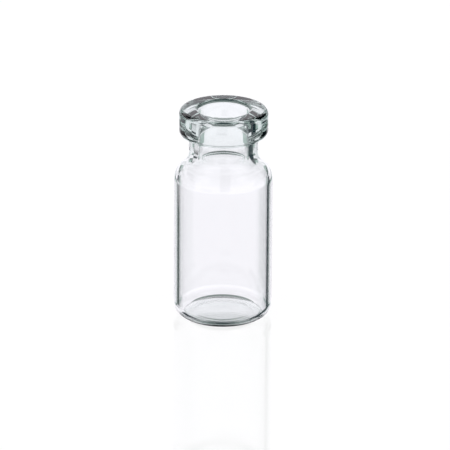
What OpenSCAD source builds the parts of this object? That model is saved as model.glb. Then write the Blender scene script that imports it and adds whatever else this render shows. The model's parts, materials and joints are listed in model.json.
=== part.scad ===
/* [Body] */
// Height from the standing plane to the top of the lip
height = 32; // [26:0.5:48]
// Outside diameter of the body
body_d = 14.4; // [12:0.1:20]
// Thickness of the body wall
wall = 0.75; // [0.5:0.05:1]

/* [Foot] */
// Outside radius between the body and the foot
heel_r = 2.05; // [1:0.05:2.5]
// Inside radius between the wall and the floor
floor_r = 1.25; // [0.6:0.05:2]
// Thickness of the floor
floor_t = 0.7; // [0.5:0.05:1.6]
// Width of the ring that the vial stands on
ring_w = 0.8; // [0.2:0.05:1.2]
// Rise of the hollow under the foot, at its middle
push_up = 0.3; // [0.1:0.05:0.6]

/* [Shoulder] */
// Slope of the shoulder's outside, from the vertical
shoulder_angle = 52; // [40:1:65]
// Slope of the shoulder's inside, from the vertical
inside_angle = 60; // [45:1:65]
// Outside radius between the body and the shoulder
shoulder_r = 2.9; // [1:0.1:3.6]
// Inside radius between the body and the shoulder
shoulder_in_r = 2.2; // [1:0.1:3.2]
// Thickness of the glass in the shoulder, where it meets the neck
shoulder_wall = 1; // [0.6:0.05:1.2]

/* [Neck] */
// Outside diameter of the neck
neck_d = 10.1; // [9:0.1:11]
// Length of the neck between the lip and the shoulder
neck_l = 3.5; // [2.6:0.1:6]
// Outside radius between the neck and the shoulder
neck_r = 1.9; // [0.4:0.1:2]
// Inside radius between the bore and the shoulder
neck_in_r = 3; // [1:0.1:3.2]

/* [Lip] */
// Outside diameter of the lip, which a crimp cap closes over
lip_d = 13; // [11.6:0.1:15]
// Height of the lip
lip_h = 4.1; // [3:0.1:5]
// Radius of the lip's upper outer edge
lip_top_r = 0.75; // [0.2:0.05:1.3]
// Radius of the lip's lower outer edge
lip_low_r = 0.95; // [0.2:0.05:1.3]
// Radius in the corner between the lip and the neck
lip_root_r = 0.45; // [0.1:0.05:0.6]

/* [Mouth] */
// Diameter of the bore, which runs straight down through the lip and the neck
bore_d = 7.4; // [6:0.1:8]
// Radius of the bore's upper edge
bore_edge_r = 0.5; // [0.1:0.05:0.8]

/* [Hidden] */

// Facets round each circle
$fn = 120;

// Overlap of a rounding's area with its corner
lap = 0.1;

// Share of its radius by which a rounding's circle crosses the edges that it meets, which leaves no sliver
cross_over = 0.0002;

// Radii of the walls
body_out = body_d / 2;
body_in = body_out - wall;
neck_out = neck_d / 2;
lip_out = lip_d / 2;
bore_in = bore_d / 2;
ring_in = body_out - heel_r - ring_w;

// Heights of the corners, measured down from the top
lip_z = height - lip_h;
neck_z = lip_z - neck_l;

// Heights of the shoulder's two cones at a radius
function outside_z(radius) = neck_z - (radius - neck_out) / tan(shoulder_angle);
function inside_z(radius) =
    neck_z - shoulder_wall / sin(shoulder_angle) - (radius - neck_out) / tan(inside_angle);

// Length along an edge that a rounding takes at a corner which turns by an angle
function taken(radius, angle) = radius * tan(angle / 2);

// Share of their radii that the two roundings of an edge have room for
function share(edge, first, second) = min(1, 0.98 * edge / (first + second));
shoulder_share = share((body_out - neck_out) / sin(shoulder_angle),
    taken(shoulder_r, shoulder_angle), taken(neck_r, shoulder_angle));
inside_share = share((body_in - bore_in) / sin(inside_angle),
    taken(shoulder_in_r, inside_angle), taken(neck_in_r, inside_angle));
undercut_share = share(lip_out - neck_out, taken(lip_root_r, 90), taken(lip_low_r, 90));
face_share = share(lip_out - bore_in, taken(lip_top_r, 90), taken(bore_edge_r, 90));

// Section of the glass on one side of the axis: radius, height and rounding of each corner
section = [
    [0, 0, 0],
    [body_out, 0, heel_r],
    [body_out, outside_z(body_out), shoulder_r * shoulder_share],
    [neck_out, neck_z, neck_r * shoulder_share],
    [neck_out, lip_z, lip_root_r * undercut_share],
    [lip_out, lip_z, lip_low_r * undercut_share],
    [lip_out, height, lip_top_r * face_share],
    [bore_in, height, bore_edge_r * face_share],
    [bore_in, inside_z(bore_in), neck_in_r * inside_share],
    [body_in, inside_z(body_in), shoulder_in_r * inside_share],
    [body_in, floor_t, floor_r],
    [0, floor_t, 0]
];

// Radius of the ball that the hollow under the foot is a cap of
hollow_r = (pow(ring_in, 2) + pow(push_up, 2)) / (2 * push_up);

// What the rounding of radius r leaves at the corner p, whose edges run towards a and b.
// It laps over both edges, so that it joins or cuts them cleanly.
module web(a, p, b, r) {
    u = (a - p) / norm(a - p);
    v = (b - p) / norm(b - p);
    half = acos(u * v) / 2;
    centre = p + (u + v) / norm(u + v) * r / sin(half);
    ends = [p + v * r / tan(half), p, p + u * r / tan(half)];
    difference() {
        polygon([centre, for (end = ends) centre + (end - centre) * (1 + lap / r)]);
        translate(centre) circle(r * (1 + cross_over));
    }
}

// Closed outline through [x, y, rounding] corners, which run anticlockwise
module rounded(corners) {
    last = len(corners) - 1;
    function at(i) = [corners[i].x, corners[i].y];
    function before(i) = at(i == 0 ? last : i - 1);
    function after(i) = at(i == last ? 0 : i + 1);
    function hollow(i) = cross(at(i) - before(i), after(i) - at(i)) < 0;
    module webs(inner)
        for (i = [0:last])
            if (corners[i].z > 0 && hollow(i) == inner)
                web(before(i), at(i), after(i), corners[i].z);
    difference() {
        union() {
            polygon([for (i = [0:last]) at(i)]);
            webs(true);
        }
        webs(false);
    }
}

// Half of a shallow round cap, as wide as the ring, standing on a level
module cap(level) {
    translate([0, level])
        intersection() {
            translate([0, push_up - hollow_r]) circle(hollow_r, $fn = 720);
            square([2 * ring_in, 2 * push_up]);
        }
}

// The glass: the walls with the floor domed as much as the foot is hollow
module vial() {
    color([0.86, 0.91, 0.93, 0.4])
        rotate_extrude()
            difference() {
                union() {
                    rounded(section);
                    cap(floor_t);
                }
                cap(0);
            }
}

vial();
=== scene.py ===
# %% [markdown]
# # A glass sample vial
# The real object is one piece of clear glass, about as tall as the end of a thumb. It starts as a
# length of borosilicate tube. A machine turns the tube in a flame, draws it in to make the neck,
# rolls the mouth up into a thick lip that a crimped cap can grip, and melts the other end shut.
#
# This notebook loads the vial's CAD model as a fixed frame, takes its sizes from it, models the
# glass again as one smooth turned shape, gives it a glass material, and sets it up in a small
# white studio. Everything is in metres, and the vial stands on the origin.

# %% Load the frame
import json
import math

import bmesh
import bpy
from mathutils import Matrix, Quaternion, Vector


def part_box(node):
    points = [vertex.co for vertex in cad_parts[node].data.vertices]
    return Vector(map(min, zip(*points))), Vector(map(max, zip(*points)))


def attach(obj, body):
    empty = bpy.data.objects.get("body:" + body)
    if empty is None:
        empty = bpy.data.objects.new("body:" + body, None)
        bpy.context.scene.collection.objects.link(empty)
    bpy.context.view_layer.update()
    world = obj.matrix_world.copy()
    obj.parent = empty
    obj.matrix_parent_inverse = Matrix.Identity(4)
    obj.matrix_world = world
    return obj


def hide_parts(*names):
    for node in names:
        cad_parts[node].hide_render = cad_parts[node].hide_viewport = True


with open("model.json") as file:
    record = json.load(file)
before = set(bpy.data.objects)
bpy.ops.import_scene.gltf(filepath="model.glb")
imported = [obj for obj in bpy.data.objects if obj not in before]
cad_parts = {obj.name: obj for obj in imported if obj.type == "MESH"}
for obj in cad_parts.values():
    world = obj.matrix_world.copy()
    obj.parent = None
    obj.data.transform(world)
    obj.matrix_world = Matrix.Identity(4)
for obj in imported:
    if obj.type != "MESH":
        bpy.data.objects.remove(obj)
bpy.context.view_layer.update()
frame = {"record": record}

# %% [markdown]
# ## Sizes
# The overall sizes come from the CAD model: its box gives the height and the body's diameter,
# and its record says how wide the lip and the bore are, where a cap and a stopper fit. The rest
# are the sizes that a glass worker sets: how thick each wall is, and the radius that the flame
# leaves at each corner. Melted glass never keeps a sharp corner, so every corner has a radius.

# %% Sizes from the frame
MM = 0.001
vial_low, vial_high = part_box("vial")
mounts = {mount["name"]: mount for mount in frame["record"]["mounts"]}

height = vial_high[2]
body_out = (vial_high[0] - vial_low[0]) / 2
lip_out = mounts["lip_rim"]["dims"]["r_mm"] * MM
bore_in = mounts["mouth_bore"]["dims"]["r_mm"] * MM
print("height %.2f, body radius %.2f, lip radius %.2f, bore radius %.2f mm"
      % tuple(size / MM for size in (height, body_out, lip_out, bore_in)))

# %% Sizes of the glass work
wall = 0.75 * MM
neck_out = 5.05 * MM
neck_length = 3.5 * MM
lip_height = 4.1 * MM
shoulder_angle = math.radians(52)
inside_angle = math.radians(60)
shoulder_wall = 1.0 * MM
floor_thickness = 0.7 * MM
ring_in = 4.35 * MM
push_up = 0.3 * MM

heel_r, floor_r, foot_r = 2.05 * MM, 1.25 * MM, 0.3 * MM
shoulder_r, shoulder_in_r = 2.9 * MM, 2.2 * MM
neck_r, neck_in_r = 1.9 * MM, 3.0 * MM
lip_root_r, lip_low_r, lip_top_r = 0.45 * MM, 0.95 * MM, 0.75 * MM
bore_edge_r = 0.5 * MM

body_in = body_out - wall
lip_z = height - lip_height
neck_z = lip_z - neck_length
print("lip starts at %.2f mm, neck at %.2f mm" % (lip_z / MM, neck_z / MM))

# %% [markdown]
# ## The shoulder
# Between the neck and the body the tube was drawn in while it turned, and the glass gathered
# there, so the shoulder's inside is flatter than its outside and its wall thins towards the body.
# Two slopes set that: each gives the height of its surface at any radius.

# %% Slopes of the shoulder


def outside_z(radius):
    """Height of the shoulder's outside slope at a radius."""
    return neck_z - (radius - neck_out) / math.tan(shoulder_angle)


def inside_z(radius):
    """Height of the shoulder's inside slope at a radius."""
    return (neck_z - shoulder_wall / math.sin(shoulder_angle)
            - (radius - neck_out) / math.tan(inside_angle))


print("shoulder ends at %.2f mm outside and %.2f mm inside"
      % (outside_z(body_out) / MM, inside_z(body_in) / MM))

# %% [markdown]
# ## The section
# A vial is round, so its whole shape is one line swept once round the axis. A glass worker
# makes it the same way, turning it against a roller. The line could be a curve with handles, but
# straight runs joined by true arcs keep each radius exact, and light that passes through glass
# shows every error in them. So the line is listed first as the corners that it would have if no
# flame had touched it, each with its rounding, from the foot up the outside and down the inside.

# %% Corners of the section
section = [
    # radius, height, rounding
    (ring_in, 0, foot_r),
    (body_out, 0, heel_r),
    (body_out, outside_z(body_out), shoulder_r),
    (neck_out, neck_z, neck_r),
    (neck_out, lip_z, lip_root_r),
    (lip_out, lip_z, lip_low_r),
    (lip_out, height, lip_top_r),
    (bore_in, height, bore_edge_r),
    (bore_in, inside_z(bore_in), neck_in_r),
    (body_in, inside_z(body_in), shoulder_in_r),
    (body_in, floor_thickness, floor_r),
    (ring_in, floor_thickness, foot_r),
]
print(len(section), "rounded corners")

# %% [markdown]
# ## Drawing the line
# In edit mode the line grows from one point, as it would by hand: the end is extruded straight to
# the next place, or spun about a centre to make an arc. Each helper moves only the selected end.
# Arcs have a point every 6 degrees, which smooth shading turns into an even curve.

# %% Helpers for the line
ARC_STEP = math.radians(6)


def at(radius, z):
    """A place on the section, which lies in the X-Z plane."""
    return Vector((radius, 0, z))


def last_point(mesh):
    """Where the selected end of the line is, in edit mode."""
    return next(v.co.copy() for v in bmesh.from_edit_mesh(mesh).verts if v.select)


def line_to(mesh, point):
    """Extrudes the selected end of the line straight to a point."""
    bpy.ops.mesh.extrude_region_move(
        TRANSFORM_OT_translate={"value": point - last_point(mesh)})


def arc_round(centre, angle):
    """Spins the selected end of the line about a centre, a positive angle from +X towards +Z."""
    bpy.ops.mesh.spin(steps=max(2, math.ceil(abs(angle) / ARC_STEP)), angle=-angle,
                      center=centre, axis=(0, -1, 0))


print("arcs have a point every %.0f degrees" % math.degrees(ARC_STEP))

# %% [markdown]
# ## The foot
# When the end of the tube is melted shut, its middle is blown or pushed up a little, so that the
# vial stands on a ring and doesn't rock. The hollow is a cap of a large ball, and the floor inside
# rises with it. The line starts on the axis, at the top of that hollow.

# %% Start the line on the axis
bpy.ops.object.select_all(action="DESELECT")
bpy.ops.mesh.primitive_plane_add(size=MM, location=(0, 0, 0))
glass = bpy.context.object
glass.name = "vial_glass"
glass.data.name = "vial_glass"
bpy.ops.object.mode_set(mode="EDIT")
bpy.ops.mesh.merge(type="CENTER")
bpy.ops.transform.translate(value=at(0, push_up))

hollow_r = (ring_in ** 2 + push_up ** 2) / (2 * push_up)
hollow_angle = math.asin(ring_in / hollow_r)
print("hollow: ball of %.1f mm radius, %.1f degrees to its edge"
      % (hollow_r / MM, math.degrees(hollow_angle)))

# %% [markdown]
# ## Rounding the corners
# A rounding of radius r takes r times the tangent of half the turn from both edges that meet at
# its corner. So the neighbours of every corner are listed, and the turn and the trim worked out
# from them. At the two ends of the list the neighbour is where the ball of the hollow comes from.

# %% Turns and trims
corners = [at(radius, z) for radius, z, _ in section]
roundings = [rounding for _, _, rounding in section]
slope = Vector((math.cos(hollow_angle), 0, -math.sin(hollow_angle)))
previous = [corners[0] - slope] + corners[:-1]
following = corners[1:] + [corners[-1] - slope]

trims = []
for before, corner, after, rounding in zip(previous, corners, following, roundings):
    turn = (corner - before).angle(after - corner)
    trims.append(rounding * math.tan(turn / 2))
print("trims in mm:", [round(trim / MM, 2) for trim in trims])

# %% The hollow under the foot
HOLLOW_STEPS = 12
hollow_turn = hollow_angle - trims[0] / hollow_r


def dome(level, share):
    """A point of the hollow, or of the floor over it, at a share of the way to its edge."""
    turn = hollow_turn * share
    return at(hollow_r * math.sin(turn), level + push_up - hollow_r * (1 - math.cos(turn)))


for step in range(1, HOLLOW_STEPS + 1):
    line_to(glass.data, dome(0, step / HOLLOW_STEPS))
print("hollow ends at a radius of %.2f mm" % (last_point(glass.data).x / MM))

# %% Up the outside and down the inside
for before, corner, after, rounding, trim in zip(previous, corners, following, roundings, trims):
    come, go = (corner - before).normalized(), (after - corner).normalized()
    side = 1 if come.x * go.z - come.z * go.x > 0 else -1
    line_to(glass.data, corner - come * trim)
    inward = Vector((-come.z, 0, come.x)) * side
    arc_round(corner - come * trim + inward * rounding, side * come.angle(go))
print("inside of the floor starts at %.2f mm" % (last_point(glass.data).z / MM))

# %% The domed floor
for step in reversed(range(HOLLOW_STEPS)):
    line_to(glass.data, dome(floor_thickness, step / HOLLOW_STEPS))
bpy.ops.object.mode_set(mode="OBJECT")
print("section has", len(glass.data.vertices), "points")

# %% [markdown]
# ## Turning
# The finished line is spun a full turn about the axis, as the tube turned in the flame. 240 steps
# keep the outline round even in close view. The first and the last step meet, and so do all the
# copies of the two points on the axis, so doubles are merged before the faces are turned outwards.
# Weighted normals keep the straight walls straight in the shading, next to their roundings.

# %% Turn the section into glass
TURNS = 240
MERGE_WITHIN = 0.0001 * MM
bpy.ops.object.mode_set(mode="EDIT")
bpy.ops.mesh.select_all(action="SELECT")
bpy.ops.mesh.spin(steps=TURNS, angle=2 * math.pi, center=(0, 0, 0), axis=(0, 0, 1))
bpy.ops.mesh.select_all(action="SELECT")
bpy.ops.mesh.remove_doubles(threshold=MERGE_WITHIN)
bpy.ops.mesh.normals_make_consistent(inside=False)
bpy.ops.object.mode_set(mode="OBJECT")
bpy.ops.object.shade_smooth()
bpy.ops.object.modifier_add(type="WEIGHTED_NORMAL")
bpy.ops.object.modifier_apply(modifier=glass.modifiers[-1].name)

edit = bmesh.new()
edit.from_mesh(glass.data)
open_edges = sum(not edge.is_manifold for edge in edit.edges)
print("glass has", len(edit.faces), "faces,", open_edges, "open edges,",
      round(edit.calc_volume() / MM ** 3, 1), "mm3")
edit.free()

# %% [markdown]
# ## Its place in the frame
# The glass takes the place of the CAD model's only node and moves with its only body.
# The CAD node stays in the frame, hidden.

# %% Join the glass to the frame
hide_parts("vial")
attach(glass, "root")
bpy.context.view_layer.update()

# %% [markdown]
# ## Helpers for materials
# Colours are written as the sRGB hex values that a paint chart would give, and one function turns
# them into the linear values that Blender's sockets hold. Another adds a node with its settings,
# its values and its links in one call, which keeps every material short enough to read.

# %% Colours and nodes


def linear(hex_colour):
    """An sRGB hex colour as the linear colour that Blender's sockets hold."""
    parts = [int(hex_colour[i:i + 2], 16) / 255 for i in (0, 2, 4)]
    return [c / 12.92 if c <= 0.04045 else ((c + 0.055) / 1.055) ** 2.4 for c in parts] + [1.0]


def new_material(name):
    """A material with an empty node tree."""
    material = bpy.data.materials.new(name)
    material.use_nodes = True
    material.node_tree.nodes.clear()
    return material


def add_node(tree, kind, values=None, links=None, **settings):
    """Adds a node with its settings, its socket values and its incoming links."""
    node = tree.nodes.new(kind)
    for name, value in settings.items():
        setattr(node, name, value)
    for socket, value in (values or {}).items():
        node.inputs[socket].default_value = value
    for socket, source in (links or {}).items():
        tree.links.new(source, node.inputs[socket])
    return node


print("F5F5F5 is", [round(c, 3) for c in linear("F5F5F5")])

# %% [markdown]
# ## The surface of the glass
# Drawn tube is never quite even. The die leaves draw lines, shallow waves that run the length of
# the tube a millimetre or two apart, and they bend what is seen through the body a little. Where
# the flame and the rollers worked the glass again, in the shoulder, neck, lip and foot, the draw
# lines have melted out and left low ripples instead. Real waves are too low to show at this size,
# so both kinds are drawn a few micrometres high.
#
# Both patterns are noise on Object coordinates. For the draw lines the Mapping node squeezes the
# height, so that the noise is long and thin, and a map over the height fades between the two.

# %% Draw lines and ripples
DRAW_SPACING = 1.6 * MM
DRAW_STRETCH = 0.04
RIPPLE_SPACING = 2.4 * MM
WAVE_HEIGHT = 0.003 * MM

borosilicate = new_material("borosilicate_glass_flame_worked")
tree = borosilicate.node_tree
place = add_node(tree, "ShaderNodeTexCoord")
along = add_node(tree, "ShaderNodeMapping",
                 {"Scale": (1 / DRAW_SPACING, 1 / DRAW_SPACING, DRAW_STRETCH / DRAW_SPACING)},
                 {"Vector": place.outputs["Object"]})
draw_lines = add_node(tree, "ShaderNodeTexNoise", {"Scale": 1.0, "Detail": 2.0, "Roughness": 0.5},
                      {"Vector": along.outputs["Vector"]})
ripples = add_node(tree, "ShaderNodeTexNoise",
                   {"Scale": 1 / RIPPLE_SPACING, "Detail": 1.0, "Roughness": 0.4},
                   {"Vector": place.outputs["Object"]})
print("draw lines every %.1f mm, ripples every %.1f mm"
      % (DRAW_SPACING / MM, RIPPLE_SPACING / MM))

# %% Where the flame worked
shoulder_start = outside_z(body_out) - shoulder_r
foot_end = 2.5 * heel_r
where = add_node(tree, "ShaderNodeSeparateXYZ", links={"Vector": place.outputs["Object"]})
above = add_node(tree, "ShaderNodeMapRange",
                 {"From Min": shoulder_start, "From Max": neck_z},
                 {"Value": where.outputs["Z"]})
below = add_node(tree, "ShaderNodeMapRange",
                 {"From Min": foot_end, "From Max": floor_thickness},
                 {"Value": where.outputs["Z"]})
worked = add_node(tree, "ShaderNodeMath", links={0: above.outputs["Result"],
                                                 1: below.outputs["Result"]}, operation="MAXIMUM")
waves = add_node(tree, "ShaderNodeMix", None,
                 {"Factor": worked.outputs["Value"], "A": draw_lines.outputs["Fac"],
                  "B": ripples.outputs["Fac"]})
print("draw lines fade out below %.1f mm and above %.1f mm" % (foot_end / MM, shoulder_start / MM))

# %% [markdown]
# ## The glass itself
# Borosilicate glass bends light a little less than window glass: its index is about 1.47, and
# 1.48 suits the thick lip. Fire-polished glass has no roughness at all. It looks clear through
# one wall, but a trace of iron takes out some red and blue over a long way, so thick glass seen
# edge on, as in the lip and the heel, turns a cool green. Volume absorption does exactly that:
# its density is per metre, and light crosses under 2 mm of glass in the middle of the body, but up
# to 10 mm in the lip.

# %% Borosilicate tube glass, flame-worked
surface = add_node(tree, "ShaderNodeBump", {"Strength": 1.0, "Distance": WAVE_HEIGHT},
                   {"Height": waves.outputs["Result"]})
shader = add_node(tree, "ShaderNodeBsdfPrincipled", {
    "Base Color": linear("FFFFFF"),
    "Roughness": 0.0,
    "IOR": 1.48,
    "Transmission Weight": 1.0,
}, {"Normal": surface.outputs["Normal"]})
tint = add_node(tree, "ShaderNodeVolumeAbsorption",
                {"Color": linear("C8DCD6"), "Density": 100.0})
add_node(tree, "ShaderNodeOutputMaterial",
         links={"Surface": shader.outputs["BSDF"], "Volume": tint.outputs["Volume"]})
glass.data.materials.clear()
glass.data.materials.append(borosilicate)
print(borosilicate.name, "has", len(tree.nodes), "nodes")

# %% [markdown]
# ## The camera
# The vial is seen from a little above, so that the mouth shows as an oval and the floor as a
# second one. A long lens from well back keeps its sides nearly parallel, as in a catalogue. The
# distance follows from the lens and from how large a millimetre should be in the picture.

# %% Camera
ELEVATION = math.radians(20.75)
ROLL = math.radians(0.35)
LENS, SENSOR = 430.0, 36.0
PICTURE_WIDTH = 450
SIZE_OF_A_MM = 6.82
distance = LENS / SENSOR * PICTURE_WIDTH / (SIZE_OF_A_MM / MM)
target = Vector((0.28 * MM, 0, 13.87 * MM))

camera_data = bpy.data.cameras.new("camera")
camera = bpy.data.objects.new("camera", camera_data)
bpy.context.scene.collection.objects.link(camera)
camera_data.lens = LENS
camera_data.sensor_width = SENSOR
camera_data.clip_start = 0.01
camera_data.clip_end = 20
camera.location = target + distance * Vector((0, -math.cos(ELEVATION), math.sin(ELEVATION)))
turn = Quaternion((1, 0, 0), math.pi / 2 - ELEVATION) @ Quaternion((0, 0, 1), ROLL)
camera.rotation_euler = turn.to_euler()
bpy.context.scene.camera = camera
print("camera stands %.3f m away" % distance)

# %% [markdown]
# ## The floor
# The vial stands on a sheet of glossy white acrylic, the usual table for small glass. The camera
# sees the sheet as plain white, dimmed a little by the vial's shadow, with the faint reflection
# that acrylic gives. Light that reaches the floor through the glass has to find the studio's
# cards, or every wall of the vial would show only floor. So for all rays but the camera's the
# sheet is a mirror. It lies a hair below the foot, because two surfaces at one height would fight.

# %% Floor
FLOOR_SIZE = 2.2
FLOOR_GAP = 0.02 * MM
bpy.ops.object.select_all(action="DESELECT")
bpy.ops.mesh.primitive_plane_add(size=FLOOR_SIZE, location=(0, 0, -FLOOR_GAP))
floor = bpy.context.object
floor.name = "studio_floor"

acrylic = new_material("acrylic_sheet_white_gloss")
tree = acrylic.node_tree
white = add_node(tree, "ShaderNodeEmission", {"Color": linear("FFFFFF"), "Strength": 1.1})
lit = add_node(tree, "ShaderNodeBsdfDiffuse", {"Color": linear("FFFFFF")})
sheet = add_node(tree, "ShaderNodeMixShader", {0: 0.12},
                 {1: white.outputs["Emission"], 2: lit.outputs["BSDF"]})
polish = add_node(tree, "ShaderNodeBsdfGlossy", {"Color": linear("FFFFFF"), "Roughness": 0.06})
fresnel = add_node(tree, "ShaderNodeFresnel", {"IOR": 1.49})
seen = add_node(tree, "ShaderNodeMixShader", None,
                {0: fresnel.outputs["Fac"], 1: sheet.outputs["Shader"], 2: polish.outputs["BSDF"]})
print("floor", FLOOR_SIZE, "m wide")

# %% What the floor is to other rays
mirror = add_node(tree, "ShaderNodeBsdfGlossy", {"Color": linear("FFFFFF"), "Roughness": 0.0})
path = add_node(tree, "ShaderNodeLightPath")
surface = add_node(tree, "ShaderNodeMixShader", None,
                   {0: path.outputs["Is Camera Ray"], 1: mirror.outputs["BSDF"],
                    2: seen.outputs["Shader"]})
add_node(tree, "ShaderNodeOutputMaterial", links={"Surface": surface.outputs["Shader"]})
acrylic.cycles.emission_sampling = "NONE"
floor.data.materials.append(acrylic)
print(acrylic.name, "has", len(tree.nodes), "nodes")

# %% [markdown]
# ## The room
# Clear glass has no colour of its own: it is drawn by what stands round it. The background that
# the camera sees directly is white. Everything else is a dark blue-grey room, and the glass turns
# dark wherever it bends the view out to that room. That is what draws its outline.

# %% World
world = bpy.data.worlds.new("studio")
bpy.context.scene.world = world
world.use_nodes = True
tree = world.node_tree
tree.nodes.clear()
path = add_node(tree, "ShaderNodeLightPath")
white = add_node(tree, "ShaderNodeBackground", {"Color": linear("FFFFFF"), "Strength": 1.0})
dark = add_node(tree, "ShaderNodeBackground", {"Color": linear("26353A"), "Strength": 1.0})
mixed = add_node(tree, "ShaderNodeMixShader", None,
                 {0: path.outputs["Is Camera Ray"], 1: dark.outputs["Background"],
                  2: white.outputs["Background"]})
add_node(tree, "ShaderNodeOutputWorld", links={"Surface": mixed.outputs["Shader"]})
print("room is white to the camera and dark to the glass")

# %% [markdown]
# ## Cards
# A studio lights clear glass with cards: white ones that glow behind it, and gaps between
# them that stay dark. Here each card is a piece of one large dome round the vial, so its place is
# two pairs of angles: azimuth, from straight behind the vial and positive to the right, and rise,
# from the floor up. A card starts as one point, is spun up into a line and round into a sheet.
# The camera doesn't see the cards, and each overlaps its neighbours by a hair, so no crack shows.

# %% Helper for the shape of a card
CARD_DISTANCE = 1.2
OVERLAP = 0.1
STEPS_UP, STEPS_ROUND = 8, 24


def card_sheet(name, azimuths, rises):
    """A piece of the dome between two azimuths and two rises, in degrees."""
    left, right = (math.radians(a) for a in (azimuths[0] - OVERLAP, azimuths[1] + OVERLAP))
    low, high = (math.radians(r) for r in (max(0, rises[0] - OVERLAP), rises[1] + OVERLAP))
    bpy.ops.object.select_all(action="DESELECT")
    bpy.ops.mesh.primitive_plane_add(size=MM, location=(0, 0, 0))
    sheet = bpy.context.object
    sheet.name = name
    bpy.ops.object.mode_set(mode="EDIT")
    bpy.ops.mesh.merge(type="CENTER")
    bpy.ops.transform.translate(
        value=CARD_DISTANCE * Vector((0, math.cos(low), math.sin(low))))
    bpy.ops.mesh.spin(steps=STEPS_UP, angle=high - low, center=(0, 0, 0), axis=(-1, 0, 0))
    bpy.ops.mesh.select_all(action="SELECT")
    bpy.ops.mesh.spin(steps=STEPS_ROUND, angle=right - left, center=(0, 0, 0), axis=(0, 0, 1))
    bpy.ops.mesh.select_all(action="SELECT")
    bpy.ops.transform.rotate(value=left, orient_axis="Z", center_override=(0, 0, 0))
    bpy.ops.object.mode_set(mode="OBJECT")
    return sheet


print("cards hang %.1f m away and overlap by %.1f degrees" % (CARD_DISTANCE, OVERLAP))

# %% [markdown]
# ## The light of a card
# Most cards glow evenly. A few fade from one strength at the bottom to another at the top, as a
# card does that is lit from one end, because an edge between bright and dim would show in the
# glass as a stripe. Bright cards are a clean white, with a trace of violet against the green of
# the glass. The dim ones are grey-green, because they stand for parts of the room in shade.

# %% Helper for the light of a card
WHITE_CARD = "FBF8FE"
GREY_CARD = "D6E8E4"
WHITE_FROM = 0.75


def card(name, azimuths, rises, strength, top_strength=None):
    """A card that glows, and fades towards its top where a second strength is given."""
    sheet = card_sheet(name, azimuths, rises)
    paper = new_material(name)
    tree = paper.node_tree
    brightest = max(strength, top_strength or 0)
    colour = WHITE_CARD if brightest > WHITE_FROM else GREY_CARD
    glow = add_node(tree, "ShaderNodeEmission", {"Color": linear(colour), "Strength": strength})
    if top_strength is not None:
        bottom, top = (CARD_DISTANCE * math.sin(math.radians(rise)) for rise in rises)
        place = add_node(tree, "ShaderNodeTexCoord")
        where = add_node(tree, "ShaderNodeSeparateXYZ", links={"Vector": place.outputs["Object"]})
        fade = add_node(tree, "ShaderNodeMapRange",
                        {"From Min": bottom, "From Max": top, "To Min": strength,
                         "To Max": top_strength}, {"Value": where.outputs["Z"]})
        tree.links.new(fade.outputs["Result"], glow.inputs["Strength"])
    add_node(tree, "ShaderNodeOutputMaterial", links={"Surface": glow.outputs["Emission"]})
    sheet.data.materials.append(paper)
    sheet.visible_camera = False


print("white cards", WHITE_CARD, "and grey ones", GREY_CARD, "up to a strength of", WHITE_FROM)

# %% [markdown]
# ## Where the cards hang
# A wall that stands upright doesn't change how steeply light travels, so the body seen from one
# height only ever shows one belt of the dome. The belts are named from the floor up. Up to a rise
# of 28 degrees each is bright in the middle behind the vial, so the glass is clear there. Further
# up the middle is dim, which draws the dark arc where the shoulder meets the neck.
#
# From 36 to 63 degrees out the room is left dark, and the edges of the body show that as a dark
# line. On the left, cards close this gap in the belts next to those that the body shows, so that
# less of it is seen through the vial from the right. The wings beside the gap are grey. The front
# and the sides are bright, because their reflections give the outermost edge its shine. The small
# gaps further round draw the same dark edges when the vial is seen from another side.

# %% The belts
belts = {
    # name: rises, then each card's first and last azimuth and its strength, with a second
    # strength for its top where it fades
    "skirting": ((0, 6), [(-36, 36, 1.1), (-126, -63, 1.03), (63, 207, 1.03)]),
    "low": ((6, 11), [(-18, 18, 1.1), (-36, -18, 0.25), (18, 36, 0.25), (-63, -36, 0.85),
                      (63, 297, 1.03)]),
    "lower": ((11, 18.3), [(-18, 18, 1.12), (-30, -18, 0.7), (18, 30, 0.7), (-36, -30, 0.35),
                           (30, 36, 0.35), (-63, -36, 0.85), (99, 171, 1.03), (198, 297, 1.03)]),
    "turning": ((18.3, 19.8), [(-18, 18, 1.12, 1.03), (-30, -18, 0.7, 1.03), (18, 30, 0.7, 1.03),
                               (-36, -30, 0.3), (30, 36, 0.3), (-63, -36, 0.85, 0.15),
                               (63, 90, 0.45), (90, 297, 1.0)]),
    "middle": ((19.8, 21.6), [(-30, 30, 1.03), (-36, -30, 0.3), (30, 36, 0.3), (-63, -36, 0.15),
                              (63, 90, 0.45), (90, 297, 1.0)]),
    "upper": ((21.6, 28), [(-63, 30, 1.03), (30, 36, 0.4), (63, 90, 0.45), (90, 252, 1.0),
                           (279, 297, 1.0)]),
    "high": ((28, 32), [(-63, -12, 1.03), (-12, 12, 0.3), (12, 30, 1.03), (30, 36, 0.4),
                        (63, 90, 0.45), (90, 297, 1.0)]),
    "header": ((32, 45), [(-36, -12, 1.1), (-12, 12, 0.3), (12, 36, 1.1), (90, 270, 0.35)]),
    "ceiling": ((45, 65), [(-36, -12, 0.6), (12, 36, 0.6), (90, 130, 1.0), (130, 230, 0.35),
                           (230, 270, 1.0)]),
}
for belt, (rises, spans) in belts.items():
    for number, (start, end, *strengths) in enumerate(spans, 1):
        card("%s_card_%d" % (belt, number), (start, end), rises, *strengths)
    print(belt, "belt:", len(spans), "cards from", rises[0], "to", rises[1], "degrees")

# %% [markdown]
# ## Finish
# The Standard view shows each colour as it is written, so the white floor stays white.

# %% View
bpy.context.scene.view_settings.view_transform = "Standard"
print("view:", bpy.context.scene.view_settings.view_transform)
